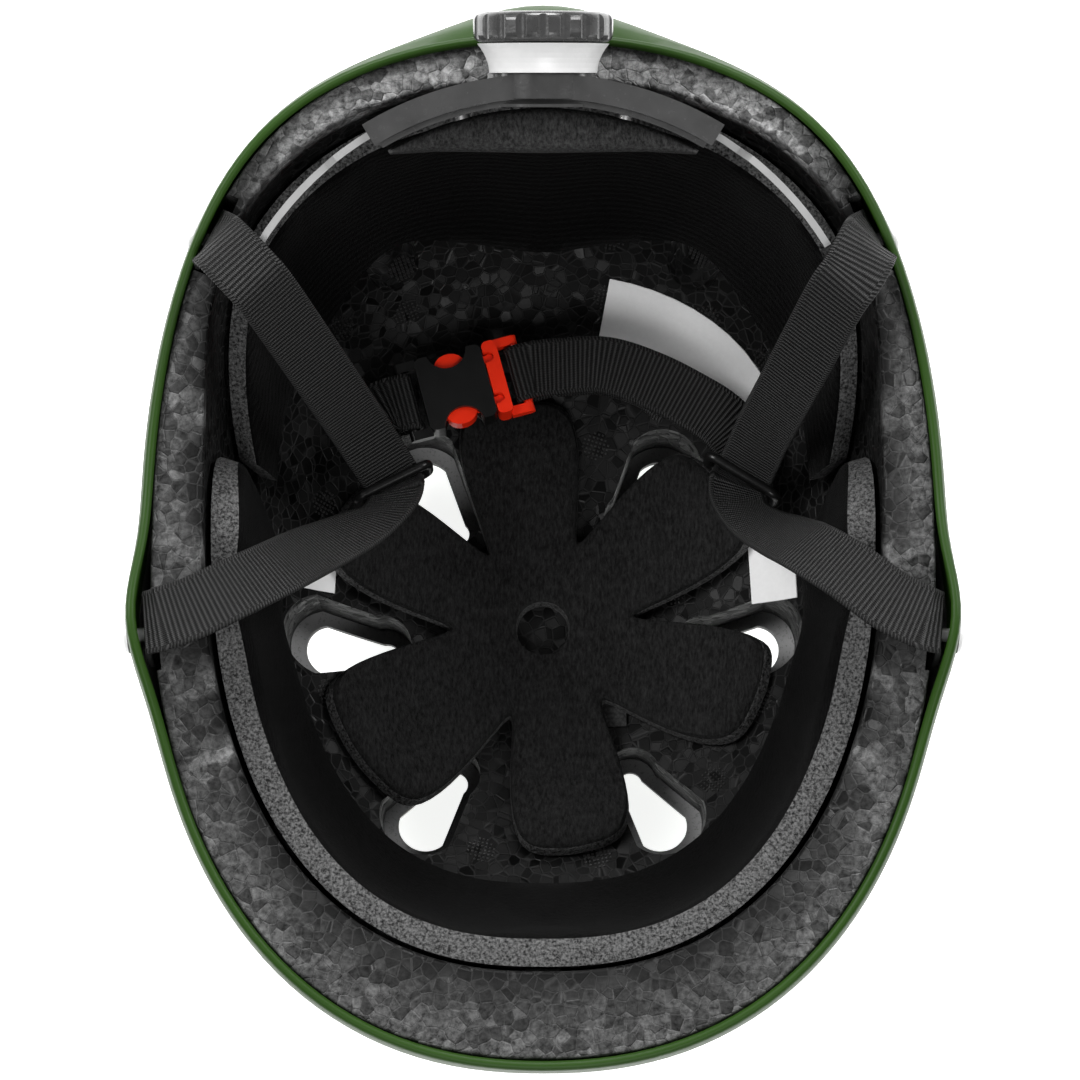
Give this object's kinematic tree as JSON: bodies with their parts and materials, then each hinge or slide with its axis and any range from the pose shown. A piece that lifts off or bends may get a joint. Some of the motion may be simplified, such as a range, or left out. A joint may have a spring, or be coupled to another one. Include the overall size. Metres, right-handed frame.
{
  "type": "multi-sport helmet",
  "caption": "Open-face multi-sport helmet lying on its crown: vented hard shell, bead-foam liner, comfort pads, dial-fit cradle and chin straps with a side-release buckle.",
  "frame": {"origin": "under the middle of the helmet's length and width, on the floor on which it lies upside down", "axes": "+Z out of the head opening, +Y to the back of the head, +X to the wearer's right"},
  "size_m": [0.215, 0.2732, 0.1792],
  "materials": {
    "outer_shell": "green moulded shell, satin outside, raw grey inside",
    "foam_liner": "charcoal bead foam",
    "pad_fabric": "brushed black fabric over foam",
    "hook_tape": "black hook tape",
    "label_paper": "blank paper label",
    "webbing": "black ribbed webbing",
    "black_gloss": "black moulded",
    "rivet": "clear cap",
    "steel": "plated",
    "black_plastic": "satin black moulded",
    "arm_plastic": "smooth dark grey strip",
    "white_plastic": "white moulded",
    "dial_plastic": "dark grey moulded",
    "pinion_plastic": "natural acetal",
    "red_plastic": "bright red moulded"
  },
  "bodies": {
    "helmet": {"outer_shell": "outer_shell", "foam_liner": "foam_liner", "brow_pad": "pad_fabric", "wall_pad": "pad_fabric", "crown_pad": "pad_fabric", "nape_pad": "pad_fabric", "hook_patches": "hook_tape", "blank_labels": "label_paper", "side_strap_left": "webbing", "side_strap_right": "webbing", "chin_strap_left": "webbing", "chin_strap_right": "webbing", "chin_strap_tail": "webbing", "strap_ring_left": "black_gloss", "strap_ring_right": "black_gloss", "strap_rivets": "rivet", "rivet_washers": "steel", "yoke_channel": "black_plastic", "yoke_cover": "black_plastic", "cover_screws": "steel", "cradle_hanger": "black_plastic", "hanger_stud": "black_plastic", "dial_collar": "white_plastic", "buckle_socket": "black_gloss"},
    "dial": {"fit_dial": "dial_plastic", "dial_pinion": "pinion_plastic", "dial_screw": "steel", "click_spring": "steel"},
    "left_arm": {"fit_arm_left": "arm_plastic"},
    "right_arm": {"fit_arm_right": "arm_plastic"},
    "plug": {"buckle_plug": "red_plastic"},
    "rear_prong": {"buckle_prong_rear": "red_plastic"},
    "front_prong": {"buckle_prong_front": "red_plastic"}
  },
  "joints": [
    {"name": "dial_turn", "type": "hinge", "parent": "helmet", "child": "dial", "pos_m": [0, 0.104, 0.1572], "axis": [0, 0.9397, 0.342], "range_deg": [-86, 286]},
    {"name": "left_arm_run", "type": "hinge", "parent": "helmet", "child": "left_arm", "pos_m": [0, 0.02507, 0.12847], "axis": [0, -0.342, 0.9397], "range_deg": [-13.8, 4.3]},
    {"name": "right_arm_run", "type": "hinge", "parent": "helmet", "child": "right_arm", "pos_m": [0, 0.02507, 0.12847], "axis": [0, -0.342, 0.9397], "range_deg": [-4.3, 13.8]},
    {"name": "buckle_open", "type": "slide", "parent": "helmet", "child": "plug", "axis": [0.9659, 0.2588, 0], "range_m": [0, 0.026], "deforming": ["chin_strap_right", "chin_strap_tail", "buckle_prong_rear", "buckle_prong_front"]},
    {"name": "rear_prong_press", "type": "hinge", "parent": "plug", "child": "rear_prong", "pos_m": [-0.01501, 0.06061, 0.056], "axis": [0, 0, 1], "range_deg": [0, 7], "stiffness_Nm_per_rad": 0.02},
    {"name": "front_prong_press", "type": "hinge", "parent": "plug", "child": "front_prong", "pos_m": [-0.0119, 0.04902, 0.056], "axis": [0, 0, -1], "range_deg": [0, 7], "stiffness_Nm_per_rad": 0.02}
  ],
  "couplings": [
    {"joint": "left_arm_run", "follows": "dial_turn", "ratio": -0.047619},
    {"joint": "right_arm_run", "follows": "dial_turn", "ratio": 0.047619}
  ]
}
